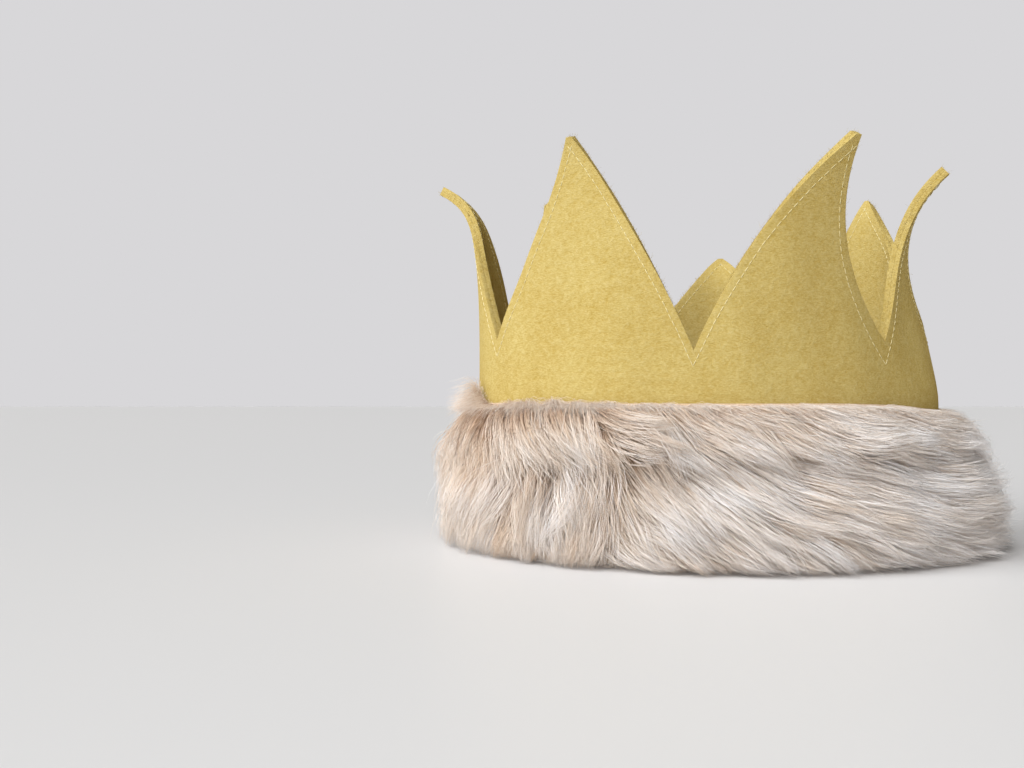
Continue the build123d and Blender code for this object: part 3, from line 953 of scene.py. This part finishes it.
def band_pile():
    """The pile of the whole band: shares, lines, radii and tones of its strands.

    Strands are gathered into clumps, and the clumps into tufts.
    """
    tuft_share, tuft_height = sown(TUFT_SPACING)
    tufts = len(tuft_share)
    wild = round_band(tuft_share, GATHERING)
    length, stand = lengths_and_stands(tuft_share, tuft_height, TUFT_SPREAD)
    tuft_bend = np.radians(RNG.normal(0, TUFT_BEND, tufts) * wild)
    tuft_clear = RNG.uniform(FLOOR_CLEAR, FLOOR_CLEAR_MOST, tufts)
    tuft_lines = grow(tuft_share, tuft_height, length, stand, tuft_bend, tuft_clear)
    tuft_tight = np.minimum(RNG.uniform(*TUFT_TIGHT, tufts) * wild, TUFT_TIGHTEST)
    tuft_tone = RNG.normal(0, TUFT_TONES, tufts) * wild

    clump_share, clump_height = sown(CLUMP_SPACING)
    clumps = len(clump_share)
    tuft = nearest(clump_share, clump_height, tuft_share, tuft_height)
    length, stand = lengths_and_stands(clump_share, clump_height, CLUMP_SPREAD)
    clear = tuft_clear[tuft] + RNG.normal(0, CLEAR_SPREAD, clumps)
    clear = np.maximum(clear, FLOOR_CLEAR)
    clump_lines = grow(clump_share, clump_height, length, stand, tuft_bend[tuft], clear)
    clump_lines = gathered(clump_lines, tuft_lines[tuft], tuft_tight[tuft], TUFT_DRAW)

    owner = np.repeat(np.arange(clumps), CLUMP_STRANDS)
    n = len(owner)
    radius = CLUMP_SPACING * np.sqrt(RNG.uniform(0, 1, n))
    turn = RNG.uniform(0, 2 * np.pi, n)
    share = clump_share[owner] + radius * np.cos(turn) / LOOP_LENGTH
    height = clump_height[owner] + radius * np.sin(turn)
    height = np.clip(height, ROOT_LOW - 1 * MM, ROOT_HIGH + 0.5 * MM)
    left = round_band(share, LEFT_SIDE)
    # Whitening: partly the pile's own paler colour, partly painted light that lifts the right
    # side, away from the window.
    whiter_and_painted_light = round_band(share, WHITENING_AND_PAINTED_LIGHT)
    own_length = length[owner] * RNG.normal(1, STRAND_SPREAD, n)
    own_stand = stand[owner] * RNG.normal(1, STRAND_SPREAD, n)
    loose = RNG.uniform(0, 1, n) < LOOSE_SHARE
    own_stand = own_stand * np.where(loose, RNG.uniform(*LOOSE_STAND, n), 1)
    own_stand = np.minimum(own_stand, STAND_MOST)
    under = RNG.uniform(0, 1, n) < UNDER_SHARE
    under_stand = UNDER_STAND + (UNDER_STAND_LEFT - UNDER_STAND) * left
    own_stand = own_stand * np.where(under, under_stand, 1)
    own_length = own_length * np.where(under, UNDER_LENGTH, 1)
    bend = tuft_bend[tuft[owner]] + np.radians(RNG.normal(0, STRAND_BEND, n))
    own_clear = np.maximum(clear[owner] + RNG.normal(0, CLEAR_SPREAD, n), FLOOR_CLEAR)
    lines = grow(share, height, own_length, own_stand, bend, own_clear)
    tight = RNG.uniform(*CLUMP_TIGHT, clumps)[owner]
    tight = np.where(loose | under, LOOSE_TIGHT, tight)
    lines = gathered(lines, clump_lines[owner], tight, CLUMP_DRAW)
    t = np.linspace(0, 1, STRAND_POINTS)
    untidy = np.where(loose, LOOSE_UNTIDY, UNTIDY)
    lines = lines + RNG.normal(0, 1, (n, 1, 3)) * (untidy[:, None] * t**2)[..., None]
    lines = lines + RNG.normal(0, WAVINESS, (n, 1, 3)) * np.sin(np.pi * t)[None, :, None]
    lines[..., 2] = np.maximum(lines[..., 2], FLOOR_CLEAR)

    thick = STRAND_RADIUS * RNG.uniform(*THICKNESSES, n)
    # The tone takes up the whitening, which is partly painted light on the right side.
    tone = TONE_MIDDLE + whiter_and_painted_light + TONE_WANDER * smooth_noise(share, height, 21)
    tone = tone + tuft_tone[tuft[owner]] + RNG.normal(0, CLUMP_TONES, clumps)[owner]
    # Painted shade: under strands darkened to show shade in the gaps between locks, less where
    # the pile is whitened.
    tone = tone - np.where(under, UNDER_PAINTED_SHADE, 0) * (1 - whiter_and_painted_light)
    # Painted shade towards the top edge of the pile.
    tone = tone - TOP_PAINTED_SHADE * np.clip((height - PAINTED_SHADE_FROM) / PAINTED_SHADE_BLEND, 0, 1)
    tone = np.clip(tone + RNG.normal(0, STRAND_TONES, n), 0, TONE_MOST)
    return share, lines, thick, tone


def fur_piece(name, lines, radii, column, look):
    """Strands of one stretch of the band, with their colour map."""
    n = len(lines)
    up = np.zeros_like(lines)
    up[..., 2] = 1.0
    verts, faces = tubes(lines, radii, STRAND_SIDES, up)
    u = (column[:, None, None] + 0.5 + 0.3 * np.array([-1, 0, 1])) / TONES
    u = np.broadcast_to(u, (n, STRAND_POINTS, STRAND_SIDES))
    t = np.linspace(0, 1, STRAND_POINTS)
    v = np.broadcast_to((0.02 + 0.96 * t)[None, :, None], u.shape)
    uv = np.stack([u, v], axis=-1).reshape(-1, 2)
    obj = new_object(name, verts, faces, look, uv=uv)
    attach(obj, "root")
    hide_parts("fur_pile")
    return obj


def fur_strands(look):
    """Every strand of the fur, in pieces round the band."""
    share, lines, thick, tone = ([part] for part in band_pile())
    for place, spread, count, rise, most in EDGE_HAIRS:
        more_share, more_lines = edge_hairs(place, spread, count, rise, most)
        share.append(more_share)
        lines.append(more_lines)
        thick.append(RNG.uniform(*EDGE_THICKNESSES, count) * STRAND_RADIUS)
        # Whitening of the edge hairs: partly their own paler colour, partly painted light on the
        # right side.
        more_tone = EDGE_TONE + EDGE_WHITENING_AND_PAINTED_LIGHT * round_band(more_share, WHITENING_AND_PAINTED_LIGHT)
        more_tone = more_tone + RNG.normal(0, EDGE_TONES, count)
        tone.append(np.clip(more_tone, 0, TONE_MOST))
    share, lines, thick, tone = map(np.concatenate, (share, lines, thick, tone))
    column = np.floor(tone * TONES)
    taper = np.interp(np.linspace(0, 1, STRAND_POINTS), STRAND_TAPER_AT, STRAND_TAPER)
    radii = thick[:, None] * taper

    side = np.mod(share, 1.0)
    pieces = []
    for p in range(FUR_PIECES):
        mine = (side >= p / FUR_PIECES) & (side < (p + 1) / FUR_PIECES)
        name = f"fur_pile_{p + 1:02d}"
        pieces.append(fur_piece(name, lines[mine], radii[mine], column[mine], look))
    return pieces


# ---- stage ------------------------
TABLE_SIZE = 12
TABLE_COLOUR = (218, 214, 211)
BACKDROP_COLOUR = (216, 215, 217)
SUN_ENERGY = 5.0
SUN_AIM = (0.66, 0.66, -0.78)    # from the left, in front and above
SUN_WIDTH = 80                   # degrees: a wide, near window
SUN_COLOUR = (0.93, 0.975, 1.02)
SKY_AIM = (-0.6, -0.45, 0.66)    # the room's brightest side
SKY_LOW, SKY_MIDDLE, SKY_HIGH = 0.04, 0.055, 0.29
SKY_WARM = (1.0, 0.80, 0.52)     # colour of the darker sides
SENSOR_WIDTH = 36.0              # mm, as is the lens
LENS = 34.453125
CAMERA_PLACE = (-0.084, -0.430, 0.0627)
CAMERA_TILT = 90.76              # degrees from straight down


def stage():
    """Table, room light and window."""
    bpy.ops.mesh.primitive_plane_add(size=TABLE_SIZE, location=(0, 0, TABLE))
    floor = bpy.context.object
    floor.name = "table"
    made, _, shader = material("table_white", 0.5, specular=0.3)
    shader.inputs["Base Color"].default_value = (*linear(*TABLE_COLOUR), 1)
    floor.data.materials.append(made)

    room()
    light = bpy.data.lights.new("window", "SUN")
    light.energy = SUN_ENERGY
    light.angle = math.radians(SUN_WIDTH)
    light.color = SUN_COLOUR
    lamp = bpy.data.objects.new("window", light)
    lamp.rotation_euler = Vector(SUN_AIM).to_track_quat("-Z", "Y").to_euler()
    bpy.context.scene.collection.objects.link(lamp)


def room():
    """Light of a pale room, brightest on the window's side; the backdrop is one plain grey."""
    world = bpy.data.worlds.new("room")
    world.use_nodes = True
    tree = world.node_tree
    soft = tree.nodes["Background"]
    place = tree.nodes.new("ShaderNodeTexCoord").outputs["Generated"]
    aim = tree.nodes.new("ShaderNodeVectorMath")
    aim.operation = "DOT_PRODUCT"
    aim.inputs[1].default_value = SKY_AIM
    tree.links.new(place, aim.inputs[0])
    spread = tree.nodes.new("ShaderNodeMapRange")
    spread.inputs["From Min"].default_value = -1.0
    tree.links.new(aim.outputs["Value"], spread.inputs["Value"])
    tree.links.new(ramp(tree, spread.outputs["Result"], [
        (0.1, tuple(SKY_LOW * c for c in SKY_WARM)),
        (0.5, tuple(SKY_MIDDLE * c for c in SKY_WARM)),
        (0.95, (SKY_HIGH,) * 3),
    ]), soft.inputs["Color"])
    plain = tree.nodes.new("ShaderNodeBackground")
    plain.inputs["Color"].default_value = (*linear(*BACKDROP_COLOUR), 1)
    seen = tree.nodes.new("ShaderNodeLightPath").outputs["Is Camera Ray"]
    mixed = tree.nodes.new("ShaderNodeMixShader")
    tree.links.new(seen, mixed.inputs[0])
    tree.links.new(soft.outputs[0], mixed.inputs[1])
    tree.links.new(plain.outputs[0], mixed.inputs[2])
    tree.links.new(mixed.outputs[0], tree.nodes["World Output"].inputs["Surface"])
    bpy.context.scene.world = world


def camera():
    """Eye level just over the band, a little left of the crown's middle."""
    data = bpy.data.cameras.new("camera")
    data.sensor_width = SENSOR_WIDTH
    data.lens = LENS
    obj = bpy.data.objects.new("camera", data)
    obj.location = CAMERA_PLACE
    obj.rotation_euler = (math.radians(CAMERA_TILT), 0, 0)
    bpy.context.scene.collection.objects.link(obj)
    bpy.context.scene.camera = obj


# ---- build ------------------------
felt = felt_material()
pale_thread = thread_material("edge_thread", (228, 212, 156))
band_thread = thread_material("band_thread", (214, 196, 170))
knit = fabric_material("knit_backing", (178, 146, 112), (214, 186, 154), 2200)
bond = fabric_material("bonded_web", (214, 210, 200), (236, 233, 226), 1500)
pile = fur_material()

felt_layer("outer_felt", FELT_MIDDLE, FELT_THICKNESS, 0.0, felt)
felt_layer("inner_felt", -FELT_MIDDLE, FELT_THICKNESS, 0.0, felt)
felt_layer("interfacing", 0.0, INTERFACING_THICKNESS, INTERFACING_INSET, bond,
           rim=0)
felt_fibres("felt_edge_fibres", felt)
topstitch("topstitch_needle_thread", 1, pale_thread)
topstitch("topstitch_bobbin_thread", -1, pale_thread)
seam("outer_felt_seam_thread", OUTER_SEAM, OUTER_SEAM_STITCHES, FELT_FACE,
     FELT_SEAM_STITCH, pale_thread)
seam("inner_felt_seam_thread", INNER_SEAM, INNER_SEAM_STITCHES, -FELT_FACE,
     FELT_SEAM_STITCH, pale_thread)
band_row("fur_top_stitches", TOP_STITCH_HEIGHT, LYING, band_thread)
band_row("fur_hem_stitches", HEM_STITCH_HEIGHT, -LYING, band_thread)
seam("fur_seam_thread", FUR_SEAM, FUR_SEAM_STITCHES, LYING,
     FUR_SEAM_STITCH, band_thread)

backing = fur_backing(knit)
strands = fur_strands(pile)

stage()
camera()
bpy.context.scene.view_settings.view_transform = "Standard"
